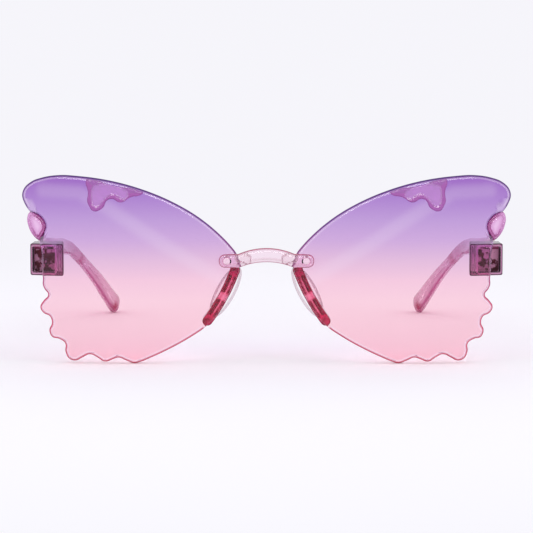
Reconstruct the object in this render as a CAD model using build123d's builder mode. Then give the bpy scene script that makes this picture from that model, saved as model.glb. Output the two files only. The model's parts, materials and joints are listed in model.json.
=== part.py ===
from build123d import *
from math import atan2, cos, degrees, radians, sin, sqrt
import os

# Rimless butterfly sunglasses, open, standing on the lens edges and the temple tips.
# X runs across the face, Y from the front to the temple tips and Z up from the table.
# The part is symmetric: a side is -1 for the half at negative X and 1 for the other half.
# "Out" is a distance from the plane of symmetry, "depth" a distance back from the
# frontmost point of the lenses, and "level" a height above the table.

# Overall size
overall_depth = 146.0
cut_overrun = 5.0

# Lenses: wing outline cut from a spherical shell
lens_width = 70.0
lens_height = 60.5
lens_gap = 17.0
lens_thickness = 2.2
lens_front_radius = 131.0
lens_blank_depth = 14.0

# Bead in the bay of the outer edge
bead_thickness = 3.4
bead_crown_radius = 14.0

# Raised drop on the front of the lens
drop_thickness = 0.8
drop_recess = 0.35

# Bridge, over the front of both lenses
bridge_depth = 4.2
bridge_height = 4.5
bridge_rise = 1.9
bridge_level_share = 0.55
bridge_edge_bevel = 1.0
lug_length = 6.2
lug_height = 4.2
lug_corner = 1.6
lug_front_depth = 0.7
lug_inset = 3.6
window_length = 4.8
window_height = 3.0
window_corner = 0.8
window_inset = 1.1
window_rise = 0.75
window_tilt = 13.0
window_depth = 1.8

# Pegs that fasten the bridge to the lenses
peg_radius = 1.1
peg_head_radius = 1.5
peg_head_height = 0.6
peg_inset = 4.2

# Carriers behind the nose edges, and their pads
carrier_width = 3.4
carrier_depth = 4.4
rib_thickness = 0.5
pocket_width = 1.05
pocket_length = 6.0
pocket_depth = 2.2
web_length = 2.6
pad_length = 19.0
pad_width = 9.0
pad_thickness = 2.2
pad_tilt = 47.0
pad_offset = 0.6

# Hinge blocks behind the outer edges
block_inset = 2.6
block_front_width = 11.0
block_rear_width = 9.9
block_height = 10.2
block_level_share = 0.552
block_length = 13.0
block_bevel = 0.7
butt_depth = 16.0

# Three-knuckle hinge
hinge_drop = 1.0
knuckle_radius = 1.4
knuckle_outer = 1.8
knuckle_middle = 3.4
knuckle_gap = 0.05
hinge_clearance = 0.2
leaf_width = 6.9
leaf_thickness = 0.8
leaf_corner = 0.8
leaf_margin = 0.45
temple_leaf_length = 8.2
pin_radius = 0.55
pin_clearance = 0.04
screw_head_radius = 1.05
screw_head_height = 0.5
screw_slot_width = 0.3
screw_slot_depth = 0.25

# Rivet that holds the front leaf in the block
rivet_radius = 0.95
rivet_bore_radius = 0.45
rivet_head_radius = 1.35
rivet_head_height = 0.4
rivet_length = 5.5

# Rivets that hold the rear leaf on the temple
stud_radius = 0.45
stud_head_radius = 0.85
stud_head_height = 0.35
stud_length = 2.4
stud_pitch = 3.6
stud_setback = 4.0

# Temples
temple_thickness = 4.0
temple_height = 10.0
temple_tip_out = 59.3
temple_tip_level = 2.16
temple_tip_radius = 3.0
temple_tip_setback = 0.6
butt_gap = 0.1

# Outline of a lens, as shares of its width from the nose and of its height from the table
top_edge_shares = (
    (0.000, 0.540),
    (0.015, 0.583),
    (0.047, 0.632),
    (0.093, 0.688),
    (0.184, 0.776),
    (0.320, 0.868),
    (0.456, 0.931),
    (0.594, 0.973),
    (0.732, 0.995),
    (0.825, 1.000),
    (0.900, 0.988),
    (0.960, 0.962),
    (0.990, 0.930),
    (1.000, 0.893),
    (0.988, 0.850),
    (0.973, 0.822),
    (0.962, 0.807),
)
bay_edge_shares = (
    (0.938, 0.800),
    (0.905, 0.776),
    (0.886, 0.730),
    (0.898, 0.690),
    (0.912, 0.665),
    (0.915, 0.648),
    (0.909, 0.610),
    (0.904, 0.540),
    (0.905, 0.480),
)
scallop_edge_shares = (
    (0.901, 0.452),
    (0.904, 0.425),
    (0.896, 0.400),
    (0.878, 0.367),
    (0.899, 0.338),
    (0.917, 0.300),
    (0.900, 0.267),
    (0.872, 0.252),
    (0.863, 0.222),
    (0.877, 0.172),
    (0.864, 0.139),
    (0.832, 0.130),
    (0.805, 0.109),
    (0.804, 0.060),
    (0.788, 0.022),
    (0.760, 0.011),
    (0.725, 0.030),
    (0.690, 0.049),
    (0.656, 0.031),
    (0.621, 0.007),
    (0.588, 0.020),
    (0.559, 0.032),
    (0.525, 0.016),
    (0.484, 0.000),
)
lower_edge_shares = (
    (0.452, 0.010),
    (0.411, 0.030),
    (0.320, 0.080),
    (0.229, 0.139),
    (0.161, 0.192),
    (0.125, 0.232),
    (0.070, 0.326),
    (0.025, 0.433),
    (0.002, 0.504),
)

# Outline of the bead, round its free side and then behind the bay's edge, as the same shares
bead_edge_shares = (
    (0.957, 0.811),
    (0.970, 0.793),
    (0.975, 0.767),
    (0.970, 0.735),
    (0.959, 0.703),
    (0.943, 0.677),
    (0.925, 0.660),
    (0.904, 0.652),
    (0.875, 0.690),
    (0.870, 0.750),
    (0.895, 0.795),
    (0.932, 0.822),
)
bead_centre_shares = (0.938, 0.735)

# Outlines of the drop and of the cell sunk in it, as the same shares
drop_edge_shares = (
    (0.702, 0.964),
    (0.692, 0.920),
    (0.690, 0.850),
    (0.660, 0.812),
    (0.632, 0.822),
    (0.592, 0.876),
    (0.535, 0.860),
    (0.500, 0.884),
    (0.445, 0.902),
    (0.575, 0.946),
)
cell_edge_shares = (
    (0.668, 0.905),
    (0.671, 0.856),
    (0.655, 0.836),
    (0.596, 0.892),
    (0.540, 0.880),
    (0.512, 0.906),
    (0.650, 0.930),
)

# Middle line of a nose pad carrier, as the same shares
carrier_line_shares = ((0.024, 0.494), (0.071, 0.371), (0.150, 0.226))

# Middle line of a temple: shares of the way back, of the way in and of the way down
temple_line_shares = (
    (0.093, 0.000, 0.000),
    (0.363, 0.000, 0.050),
    (0.572, 0.010, 0.100),
    (0.664, 0.095, 0.159),
    (0.759, 0.335, 0.356),
    (0.831, 0.560, 0.547),
    (0.977, 0.953, 0.950),
    (1.000, 1.000, 1.000),
)
# Sections of a temple: share of the middle line's length, then shares of the temple's
# thickness and height, and the corner as a share of that section's thickness
temple_section_shares = (
    (0.00, 1.00, 1.00, 0.30),
    (0.28, 0.92, 0.75, 0.34),
    (0.55, 0.84, 0.54, 0.40),
    (0.63, 0.83, 0.48, 0.43),
    (0.74, 0.82, 0.45, 0.45),
    (0.86, 0.96, 0.59, 0.46),
    (1.00, 1.10, 0.75, 0.46),
)
tip_angles = (55.0, 22.0)

# Places that follow from the sizes
sides = (-1, 1)
side_names = {-1: "left", 1: "right"}
lens_centre_out = (lens_gap + lens_width) / 2
lens_centre_level = lens_height / 2
lens_back_radius = lens_front_radius - lens_thickness
bridge_level = bridge_level_share * lens_height
lug_out = lens_gap / 2 + lug_inset
window_out = lens_gap / 2 - window_inset
peg_out = lens_gap / 2 + peg_inset
block_out = lens_gap / 2 + lens_width - block_inset
block_level = block_level_share * lens_height
hinge_level = block_level - hinge_drop
hinge_height = 2 * knuckle_outer + knuckle_middle + 2 * knuckle_gap
hinge_bottom = hinge_level - hinge_height / 2
pin_depth = butt_depth + knuckle_radius + hinge_clearance
temple_out = block_out - temple_thickness / 2 - butt_gap
temple_inner_out = temple_out - temple_thickness / 2
pin_out = temple_inner_out - knuckle_radius - hinge_clearance
leaf_out = pin_out - knuckle_radius - leaf_margin + leaf_width / 2
temple_front_depth = butt_depth + butt_gap
temple_tip_depth = overall_depth - temple_tip_setback


def at_depth(depth):
    """Y of a depth behind the frontmost point of the lenses."""
    return depth - overall_depth / 2


def face_plane(depth):
    """Plane parallel to the face, on which an extrusion runs forward."""
    return Plane.XZ.offset(-at_depth(depth))


def lens_point(side, shares):
    """X and Z of a point given as shares of the lens."""
    out = lens_gap / 2 + shares[0] * lens_width
    return (side * out, shares[1] * lens_height)


def lens_points(side, table):
    """X and Z of each point of a table of shares."""
    return [lens_point(side, shares) for shares in table]


def arc_joint(start, start_way, end, end_way):
    """Point where the two tangent arcs between neighbouring points of an outline meet."""
    chord = end - start
    reach = chord.dot(start_way + end_way)
    turn = 2 * (1 - start_way.dot(end_way))
    handle = chord.length**2 / (reach + sqrt(reach**2 + turn * chord.length**2))
    return (start + start_way * handle + end - end_way * handle) / 2


def draw_outline(side, table):
    """Smooth closed outline: two tangent arcs from each point of a table to the next."""
    points = [Vector(*point) for point in lens_points(side, table)]
    following = points[1:] + points[:1]
    ways = []
    for before, point, after in zip(points[-1:] + points[:-1], points, following):
        arriving = point - before
        leaving = after - point
        stretch = leaving.length / arriving.length
        ways.append((arriving * stretch + leaving / stretch).normalized())
    for start, way, end, end_way in zip(points, ways, following, ways[1:] + ways[:1]):
        joint = arc_joint(start, way, end, end_way)
        TangentArc(start, joint, tangent=way)
        TangentArc(end, joint, tangent=-end_way)


def lens_sphere_centre(side):
    """Centre of the two spheres that the lens faces follow."""
    return (side * lens_centre_out, at_depth(lens_front_radius), lens_centre_level)


def lens_front_depth(out, level):
    """Depth of the lens's front face at a place on it."""
    across = out - lens_centre_out
    above = level - lens_centre_level
    return lens_front_radius - sqrt(lens_front_radius**2 - across**2 - above**2)


def export(piece, name):
    """Label a finished piece and write it."""
    piece.part.label = name
    export_step(piece.part, f"parts/{name}.step")


def make_lens(side):
    """Wing cut from a spherical shell, with a hole for the bridge peg."""
    outline = top_edge_shares + bay_edge_shares + scallop_edge_shares + lower_edge_shares
    with BuildPart() as lens:
        with BuildSketch(face_plane(lens_blank_depth)):
            with BuildLine():
                draw_outline(side, outline)
            make_face()
        extrude(amount=lens_blank_depth + cut_overrun)
        with Locations(lens_sphere_centre(side)):
            Sphere(lens_front_radius, mode=Mode.INTERSECT)
            Sphere(lens_back_radius, mode=Mode.SUBTRACT)
        with BuildSketch(face_plane(lens_blank_depth)):
            with Locations((side * peg_out, bridge_level)):
                Circle(peg_radius)
        extrude(amount=lens_blank_depth + cut_overrun, mode=Mode.SUBTRACT)
    return lens


def make_wing_bead(side):
    """Almond cabochon, crowned on both faces, that fills the bay of the outer edge."""
    outline = top_edge_shares + bay_edge_shares + scallop_edge_shares + lower_edge_shares
    centre = lens_point(side, bead_centre_shares)
    middle = lens_front_depth(abs(centre[0]), centre[1]) + lens_thickness / 2
    crown_shift = bead_crown_radius - bead_thickness / 2
    with BuildPart() as bead:
        with BuildSketch(face_plane(lens_blank_depth)):
            with BuildLine():
                draw_outline(side, bead_edge_shares)
            make_face()
            with BuildLine():
                draw_outline(side, outline)
            make_face(mode=Mode.SUBTRACT)
        extrude(amount=lens_blank_depth + cut_overrun)
        with Locations((centre[0], at_depth(middle + crown_shift), centre[1])):
            Sphere(bead_crown_radius, mode=Mode.INTERSECT)
        with Locations((centre[0], at_depth(middle - crown_shift), centre[1])):
            Sphere(bead_crown_radius, mode=Mode.INTERSECT)
    return bead


def make_wing_drop(side):
    """Raised drop with a wavy lower edge and a sunk cell, bonded on the lens's front."""
    with BuildPart() as drop:
        with BuildSketch(face_plane(lens_blank_depth)):
            with BuildLine():
                draw_outline(side, drop_edge_shares)
            make_face()
        extrude(amount=lens_blank_depth + cut_overrun)
        with Locations(lens_sphere_centre(side)):
            Sphere(lens_front_radius + drop_thickness, mode=Mode.INTERSECT)
            Sphere(lens_front_radius, mode=Mode.SUBTRACT)
    with BuildPart() as cell:
        with BuildSketch(face_plane(lens_blank_depth)):
            with BuildLine():
                draw_outline(side, cell_edge_shares)
            make_face()
        extrude(amount=lens_blank_depth + cut_overrun)
        with Locations(lens_sphere_centre(side)):
            Sphere(lens_front_radius + drop_thickness - drop_recess, mode=Mode.SUBTRACT)
    with BuildPart() as sunk_drop:
        add(drop.part)
        add(cell.part, mode=Mode.SUBTRACT)
    return sunk_drop


def make_bridge():
    """Clear arch with a lug over each lens and a moulded window at each end."""
    with BuildPart() as bridge:
        arch_end = lug_out - lug_length / 2
        low = bridge_level - bridge_height / 2
        high = bridge_level + bridge_height / 2
        with BuildSketch(face_plane(bridge_depth)):
            with BuildLine():
                upper = ThreePointArc((-arch_end, high), (0, high + bridge_rise), (arch_end, high))
                lower = ThreePointArc((-arch_end, low), (0, low + bridge_rise), (arch_end, low))
                Line(upper @ 0, lower @ 0)
                Line(upper @ 1, lower @ 1)
            make_face()
        extrude(amount=bridge_depth)
        chamfer(bridge.edges().filter_by(GeomType.CIRCLE), bridge_edge_bevel)
        with BuildSketch(face_plane(lens_blank_depth)):
            with Locations(*[(side * lug_out, bridge_level) for side in sides]):
                RectangleRounded(lug_length, lug_height, lug_corner)
        extrude(amount=lens_blank_depth - lug_front_depth)
        with Locations(*[lens_sphere_centre(side) for side in sides]):
            Sphere(lens_front_radius, mode=Mode.SUBTRACT)
        with BuildSketch(face_plane(bridge_depth)):
            for side in sides:
                with Locations((side * window_out, bridge_level + window_rise)):
                    RectangleRounded(
                        window_length, window_height, window_corner, rotation=-side * window_tilt
                    )
        extrude(amount=window_depth, mode=Mode.SUBTRACT)
        with BuildSketch(face_plane(lens_blank_depth)):
            with Locations(*[(side * peg_out, bridge_level) for side in sides]):
                Circle(peg_radius)
        extrude(amount=lens_blank_depth, mode=Mode.SUBTRACT)
    return bridge


def make_bridge_peg(side):
    """Round peg through a lug and its lens, with a head on the lug."""
    with BuildPart() as peg:
        with BuildSketch(face_plane(lens_blank_depth)):
            with Locations((side * peg_out, bridge_level)):
                Circle(peg_radius)
        extrude(amount=lens_blank_depth - lug_front_depth)
        with Locations(lens_sphere_centre(side)):
            Sphere(lens_back_radius, mode=Mode.SUBTRACT)
        with BuildSketch(face_plane(lug_front_depth)):
            with Locations((side * peg_out, bridge_level)):
                Circle(peg_head_radius)
        extrude(amount=peg_head_height)
    return peg


def carrier_axes(side):
    """Middle, direction down the carrier and direction across it towards the nose."""
    top, middle, bottom = [Vector(*point) for point in lens_points(side, carrier_line_shares)]
    down = (bottom - top).normalized()
    across = Vector(-side * abs(down.Y), -abs(down.X))
    return middle, down, across


def pad_plane(side):
    """Plane on which a nose pad sits: it faces back and towards the nose."""
    middle, down, across = carrier_axes(side)
    depth = lens_front_depth(abs(middle.X), middle.Y) + lens_thickness + carrier_depth
    back = cos(radians(pad_tilt))
    inward = sin(radians(pad_tilt))
    return Plane(
        origin=(middle.X, at_depth(depth), middle.Y),
        x_dir=(down.X, 0, down.Y),
        z_dir=(inward * across.X, back, inward * across.Y),
    )


def make_nose_pad_carrier(side):
    """Curved strip on the lens's back, cored with four pockets and cut aslant for the pad."""
    points = lens_points(side, carrier_line_shares)
    middle, down, across = carrier_axes(side)
    lens_back = lens_front_depth(abs(middle.X), middle.Y) + lens_thickness
    along_shift = (web_length + pocket_length) / 2
    across_shift = (rib_thickness + pocket_width) / 2
    with BuildPart() as carrier:
        with BuildSketch(face_plane(lens_blank_depth + carrier_depth)):
            with BuildLine():
                ThreePointArc(*points)
                offset(amount=carrier_width / 2)
            make_face()
        extrude(amount=lens_blank_depth + carrier_depth)
        with Locations(lens_sphere_centre(side)):
            Sphere(lens_back_radius, mode=Mode.INTERSECT)
        split(bisect_by=pad_plane(side), keep=Keep.BOTTOM)
        with BuildSketch(face_plane(lens_back + pocket_depth)):
            for along in (-along_shift, along_shift):
                for aside in (-across_shift, across_shift):
                    with Locations(middle + down * along + across * aside):
                        Rectangle(pocket_length, pocket_width, rotation=degrees(atan2(down.Y, down.X)))
        extrude(amount=lens_blank_depth, mode=Mode.SUBTRACT)
    return carrier


def make_nose_pad(side):
    """Clear soft oval pad on the slanted face of its carrier."""
    with BuildPart() as pad:
        with BuildSketch(pad_plane(side)):
            with Locations((0, pad_offset)):
                Ellipse(pad_length / 2, pad_width / 2)
        extrude(amount=pad_thickness)
    return pad


def make_end_block(side):
    """Tapered see-through block behind the lens, with a seat for the leaf and its rivet."""
    front_out = block_out - block_front_width / 2
    rear_out = block_out - block_rear_width / 2
    with BuildPart() as block:
        with BuildSketch(face_plane(butt_depth)):
            with Locations((side * rear_out, block_level)):
                Rectangle(block_rear_width, block_height)
        with BuildSketch(face_plane(butt_depth - block_length)):
            with Locations((side * front_out, block_level)):
                Rectangle(block_front_width, block_height)
        loft(ruled=True)
        ends = block.faces().sort_by(Axis.Y)
        chamfer(block.edges() - ends[0].edges() - ends[-1].edges(), block_bevel)
        with Locations(lens_sphere_centre(side)):
            Sphere(lens_back_radius, mode=Mode.INTERSECT)
        with BuildSketch(face_plane(butt_depth)):
            with Locations((side * leaf_out, hinge_level)):
                Rectangle(leaf_width, hinge_height)
        extrude(amount=leaf_thickness, mode=Mode.SUBTRACT)
        with BuildSketch(face_plane(butt_depth)):
            with Locations((side * leaf_out, hinge_level)):
                Circle(rivet_radius)
        extrude(amount=rivet_length, mode=Mode.SUBTRACT)
    return block


def make_front_hinge_leaf(side):
    """Plate let into the block, with the two outer knuckles."""
    with BuildPart() as leaf:
        with BuildSketch(face_plane(butt_depth)):
            with Locations((side * leaf_out, hinge_level)):
                Rectangle(leaf_width, hinge_height)
        extrude(amount=leaf_thickness)
        for level in (hinge_bottom, hinge_bottom + hinge_height - knuckle_outer):
            with BuildSketch(Plane.XY.offset(level)):
                with Locations((side * pin_out, at_depth(pin_depth))):
                    Circle(knuckle_radius)
                with Locations((side * pin_out, at_depth((pin_depth + butt_depth) / 2))):
                    Rectangle(2 * knuckle_radius, pin_depth - butt_depth)
            extrude(amount=knuckle_outer)
        with BuildSketch(Plane.XY.offset(hinge_bottom)):
            with Locations((side * pin_out, at_depth(pin_depth))):
                Circle(pin_radius)
        extrude(amount=hinge_height, mode=Mode.SUBTRACT)
        with BuildSketch(face_plane(butt_depth)):
            with Locations((side * leaf_out, hinge_level)):
                Circle(rivet_radius)
        extrude(amount=leaf_thickness, mode=Mode.SUBTRACT)
        with BuildSketch(face_plane(butt_depth)):
            with Locations((side * leaf_out, hinge_level)):
                Circle(rivet_head_radius)
        extrude(amount=rivet_head_height, mode=Mode.SUBTRACT)
    return leaf


def make_hinge_rivet(side):
    """Tubular rivet from the leaf into the block."""
    with BuildPart() as rivet:
        with BuildSketch(face_plane(butt_depth)):
            with Locations((side * leaf_out, hinge_level)):
                Circle(rivet_head_radius)
        extrude(amount=rivet_head_height)
        with BuildSketch(face_plane(butt_depth)):
            with Locations((side * leaf_out, hinge_level)):
                Circle(rivet_radius)
        extrude(amount=rivet_length)
        with BuildSketch(face_plane(butt_depth)):
            with Locations((side * leaf_out, hinge_level)):
                Circle(rivet_bore_radius)
        extrude(amount=rivet_length, mode=Mode.SUBTRACT)
    return rivet


def make_hinge_screw(side):
    """Screw down through the knuckles, with a slotted head on the top one."""
    with BuildPart() as screw:
        with BuildSketch(Plane.XY.offset(hinge_bottom)):
            with Locations((side * pin_out, at_depth(pin_depth))):
                Circle(pin_radius)
        extrude(amount=hinge_height)
        with BuildSketch(Plane.XY.offset(hinge_bottom + hinge_height)):
            with Locations((side * pin_out, at_depth(pin_depth))):
                Circle(screw_head_radius)
        extrude(amount=screw_head_height)
        with BuildSketch(Plane.XY.offset(hinge_bottom + hinge_height + screw_head_height)):
            with Locations((side * pin_out, at_depth(pin_depth))):
                Rectangle(2 * screw_head_radius, screw_slot_width)
        extrude(amount=-screw_slot_depth, mode=Mode.SUBTRACT)
    return screw


def make_temple_hinge_leaf(side):
    """Plate on the temple's inner face, with the middle knuckle."""
    plate_start = knuckle_radius + hinge_clearance
    plate_out = temple_inner_out - leaf_thickness / 2
    middle_bottom = hinge_level - knuckle_middle / 2
    tongue_width = temple_inner_out - pin_out
    with BuildPart() as leaf:
        with BuildSketch(Plane.XY.offset(hinge_bottom)):
            plate_depth = pin_depth + plate_start + temple_leaf_length / 2
            with Locations((side * plate_out, at_depth(plate_depth))):
                Rectangle(leaf_thickness, temple_leaf_length)
        extrude(amount=hinge_height)
        chamfer(leaf.edges().filter_by(Axis.X).sort_by(Axis.Y)[-2:], leaf_corner)
        with BuildSketch(Plane.XY.offset(middle_bottom)):
            with Locations((side * pin_out, at_depth(pin_depth))):
                Circle(knuckle_radius)
            tongue_depth = pin_depth + plate_start / 2
            with Locations((side * (pin_out + tongue_width / 2), at_depth(tongue_depth))):
                Rectangle(tongue_width, plate_start)
        extrude(amount=knuckle_middle)
        with BuildSketch(Plane.XY.offset(middle_bottom)):
            with Locations((side * pin_out, at_depth(pin_depth))):
                Circle(pin_radius + pin_clearance)
        extrude(amount=knuckle_middle, mode=Mode.SUBTRACT)
        with BuildSketch(stud_plane(side)):
            with Locations(*stud_places(side)):
                Circle(stud_radius)
        extrude(amount=leaf_thickness, mode=Mode.SUBTRACT)
    return leaf


def stud_plane(side):
    """Inner face of the rear leaf, on which an extrusion runs outwards into the temple."""
    return Plane(
        origin=(side * (temple_inner_out - leaf_thickness), 0, 0),
        x_dir=(0, 1, 0),
        z_dir=(side, 0, 0),
    )


def stud_places(side):
    """Places of the two rivets on that face."""
    first = pin_depth + stud_setback
    return [(at_depth(depth), side * hinge_level) for depth in (first, first + stud_pitch)]


def make_temple_rivets(side):
    """Two rivets through the rear leaf into the temple."""
    with BuildPart() as rivets:
        with BuildSketch(stud_plane(side)):
            with Locations(*stud_places(side)):
                Circle(stud_radius)
        extrude(amount=leaf_thickness + stud_length)
        with BuildSketch(stud_plane(side)):
            with Locations(*stud_places(side)):
                Circle(stud_head_radius)
        extrude(amount=-stud_head_height)
    return rivets


def temple_line(side):
    """Middle line of a temple, from the end of its straight front to its tip."""
    points = []
    for back, inward, down in temple_line_shares:
        out = temple_out + inward * (temple_tip_out - temple_out)
        depth = temple_front_depth + back * (temple_tip_depth - temple_front_depth)
        level = block_level + down * (temple_tip_level - block_level)
        points.append(Vector(side * out, at_depth(depth), level))
    ways = ((0, 1, 0), (points[-1] - points[-2]).normalized())
    return Spline(*points, tangents=ways, mode=Mode.PRIVATE)


def body_sections(length):
    """Distance along the middle line, thickness, height and corner of each section."""
    sections = []
    for along, thick, high, corner in temple_section_shares:
        thickness = thick * temple_thickness
        distance = along * (length - temple_tip_radius)
        sections.append((distance, thickness, high * temple_height, corner * thickness))
    return sections


def tip_sections(length):
    """The same for the round end."""
    thickness, height, corner = body_sections(length)[-1][1:]
    sections = []
    for angle in tip_angles:
        along = length - temple_tip_radius * (1 - cos(radians(angle)))
        shrink = sin(radians(angle))
        sections.append((along, shrink * thickness, shrink * height, shrink * corner))
    return sections


def section_plane(line, along):
    """Plane square to the middle line, with its X axis level."""
    tangent = line.tangent_at(along, position_mode=PositionMode.LENGTH)
    origin = line.position_at(along, position_mode=PositionMode.LENGTH)
    return Plane(origin=origin, x_dir=(tangent.Y, -tangent.X, 0), z_dir=tangent)


def make_temple(side):
    """Straight front with a flat butt, tapering to a drop end with a rounded paddle tip."""
    line = temple_line(side)
    with BuildPart() as temple:
        for section in body_sections(line.length) + tip_sections(line.length):
            along, thickness, height, corner = section
            with BuildSketch(section_plane(line, along)):
                RectangleRounded(thickness, height, corner)
        loft(ruled=True)
        with BuildSketch(Plane.XZ.offset(-(line @ 0).Y)):
            with Locations((side * temple_out, block_level)):
                first = temple_section_shares[0]
                RectangleRounded(temple_thickness, temple_height, first[3] * temple_thickness)
        extrude(amount=(line @ 0).Y - at_depth(temple_front_depth))
        with BuildSketch(stud_plane(side)):
            with Locations(*stud_places(side)):
                Circle(stud_radius)
        extrude(amount=leaf_thickness + stud_length, mode=Mode.SUBTRACT)
    return temple


if __name__ == "__main__":
    os.makedirs("parts", exist_ok=True)
    export(make_bridge(), "bridge")
    makers = {
        "lens": make_lens,
        "wing_bead": make_wing_bead,
        "wing_drop": make_wing_drop,
        "bridge_peg": make_bridge_peg,
        "nose_pad_carrier": make_nose_pad_carrier,
        "nose_pad": make_nose_pad,
        "end_block": make_end_block,
        "front_hinge_leaf": make_front_hinge_leaf,
        "hinge_rivet": make_hinge_rivet,
        "hinge_screw": make_hinge_screw,
        "temple": make_temple,
        "temple_hinge_leaf": make_temple_hinge_leaf,
        "temple_rivets": make_temple_rivets,
    }
    for side in sides:
        for name, make in makers.items():
            export(make(side), f"{name}_{side_names[side]}")
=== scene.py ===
import json
import math

import bpy
import numpy as np
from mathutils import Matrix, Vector
from mathutils.geometry import delaunay_2d_cdt


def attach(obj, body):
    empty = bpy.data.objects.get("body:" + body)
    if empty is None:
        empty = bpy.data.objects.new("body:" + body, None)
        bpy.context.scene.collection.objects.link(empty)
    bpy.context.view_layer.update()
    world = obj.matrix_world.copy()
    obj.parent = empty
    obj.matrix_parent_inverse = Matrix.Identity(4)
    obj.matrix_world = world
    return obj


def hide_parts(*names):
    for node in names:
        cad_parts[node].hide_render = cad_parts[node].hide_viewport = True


# Butterfly sunglasses, front to the camera, on a pale studio floor. Left is negative X.
# Pieces are drawn in millimetres in the face plane (X, Z) and written to meshes in metres. Pairs
# of numbers are the start and end of a ramp, or the middle and half width of a band.

SIDES = {"left": -1, "right": 1}
MM = 0.001

# Camera: distances in metres and pitch in degrees
CAMERA_BACK = 0.688
CAMERA_HEIGHT = 0.0906
CAMERA_PITCH = 5.47
FOCAL_PIXELS = 1943.0
IMAGE_PIXELS = 533.0
SENSOR_WIDTH = 36.0

# Studio, in metres
BACKGROUND = (0.922, 0.914, 0.962)
DIFFUSE_LIGHT = 0.94
FLOOR_COLOUR = (0.975, 0.968, 0.985)
FLOOR_SIZE = 12.0
FLOOR_FADE = (0.16, 0.42)
SHADOW_PALENESS = 0.40

# Lamps: name, place, point that it faces, size and power
LAMPS = (
    ("top_box", (0.0, -0.10, 0.90), (0.0, 0.0, 0.0), (1.1, 0.60), 0.55),
    ("gloss_box", (0.0, -0.80, 0.78), (0.0, -0.05, 0.03), (1.1, 0.40), 12.0),
    ("left_box", (-0.75, -0.55, 0.50), (0.0, -0.05, 0.0), (0.25, 0.5), 1.0),
    ("right_box", (0.75, -0.55, 0.50), (0.0, -0.05, 0.0), (0.25, 0.5), 1.0),
)
GLOSS_LAMP = "gloss_box"

# The two spheres that the lens faces follow
LENS_CENTRE_OUT = 43.5
LENS_CENTRE_LEVEL = 30.25
SPHERE_Y = 58.0
FRONT_RADIUS = 131.0
BACK_RADIUS = 128.8
FRAME_FRONT_Y = -73.0
BOND_GAP = 0.04

# Lens tint: level above the table in metres and the colour there, from the table up
CAD_HEIGHT = 0.0605
LENS_LEVELS = (
    (0.0000, (1.000, 0.620, 0.680)),
    (0.0047, (1.000, 0.640, 0.700)),
    (0.0206, (1.000, 0.680, 0.755)),
    (0.0270, (0.965, 0.630, 0.750)),
    (0.0334, (0.835, 0.555, 0.755)),
    (0.0398, (0.680, 0.445, 0.760)),
    (0.0461, (0.577, 0.371, 0.730)),
    (0.0525, (0.470, 0.262, 0.670)),
    (0.0589, (0.380, 0.165, 0.590)),
    (0.0605, (0.360, 0.150, 0.570)),
)
# Painted shade: colour of the dark line on the lens's edge, from the table up
EDGE_SHADE_LEVELS = (
    (0.0000, (0.56, 0.008, 0.07)),
    (0.0200, (0.58, 0.030, 0.13)),
    (0.0330, (0.30, 0.05, 0.24)),
    (0.0450, (0.13, 0.03, 0.22)),
    (0.0605, (0.07, 0.014, 0.16)),
)
# Paler tint of the lens's light places (painted highlight, painted reflection and the necks), and
# how much of it is mixed in
PALE_TINT = (1.0, 0.88, 1.0)
PALE_SHARE = 0.58


# Lines and loops in the face plane

def unit(ways):
    """Rows of an array, each at length 1."""
    return ways / np.linalg.norm(ways, axis=1)[:, None]


def loops_of(name, facing):
    """Closed edges, longest first, of the face of a CAD node that looks most to +Y or -Y."""
    mesh = frame["nodes"][name].data
    parent = list(range(len(mesh.vertices)))

    def root(index):
        while parent[index] != index:
            parent[index] = parent[parent[index]]
            index = parent[index]
        return index

    for edge in mesh.edges:
        parent[root(edge.vertices[0])] = root(edge.vertices[1])
    areas = {}
    for polygon in mesh.polygons:
        island = root(polygon.vertices[0])
        areas[island] = areas.get(island, 0.0) + polygon.area * polygon.normal.y * facing
    island = max(areas, key=areas.get)
    uses = {}
    for polygon in mesh.polygons:
        if root(polygon.vertices[0]) == island:
            for key in polygon.edge_keys:
                uses[key] = uses.get(key, 0) + 1
    neighbours = {}
    for (first, second), count in uses.items():
        if count == 1:
            neighbours.setdefault(first, []).append(second)
            neighbours.setdefault(second, []).append(first)
    loops = []
    left = set(neighbours)
    while left:
        chain, ways = [], [min(left)]
        while ways:
            chain.append(ways[0])
            left.discard(ways[0])
            ways = [index for index in neighbours[ways[0]] if index in left]
        places = [mesh.vertices[index].co / MM for index in chain]
        loops.append(np.array([(place.x, place.z) for place in places]))
    return sorted(loops, key=loop_length, reverse=True)


def loop_length(loop):
    """Length round a closed loop."""
    return np.linalg.norm(np.roll(loop, -1, axis=0) - loop, axis=1).sum()


def lengths_along(line):
    """Length of a line of points up to each of them."""
    return np.concatenate(([0.0], np.cumsum(np.linalg.norm(np.diff(line, axis=0), axis=1))))


def anticlockwise(loop):
    """A closed loop, turned round if it runs clockwise."""
    following = np.roll(loop, -1, axis=0)
    area = (loop[:, 0] * following[:, 1] - following[:, 0] * loop[:, 1]).sum()
    return loop[::-1] if area < 0 else loop


def inward_ways(loop):
    """Directions into a closed anticlockwise loop at its points."""
    ahead = unit(np.roll(loop, -1, axis=0) - np.roll(loop, 1, axis=0))
    return np.stack((-ahead[:, 1], ahead[:, 0]), axis=1)


def hermite(t, start, way, end, end_way):
    """Place on a curve that leaves one point and reaches another in given directions."""
    return (
        (2 * t**3 - 3 * t**2 + 1) * start
        + (t**3 - 2 * t**2 + t) * way
        + (3 * t**2 - 2 * t**3) * end
        + (t**3 - t**2) * end_way
    )


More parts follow.
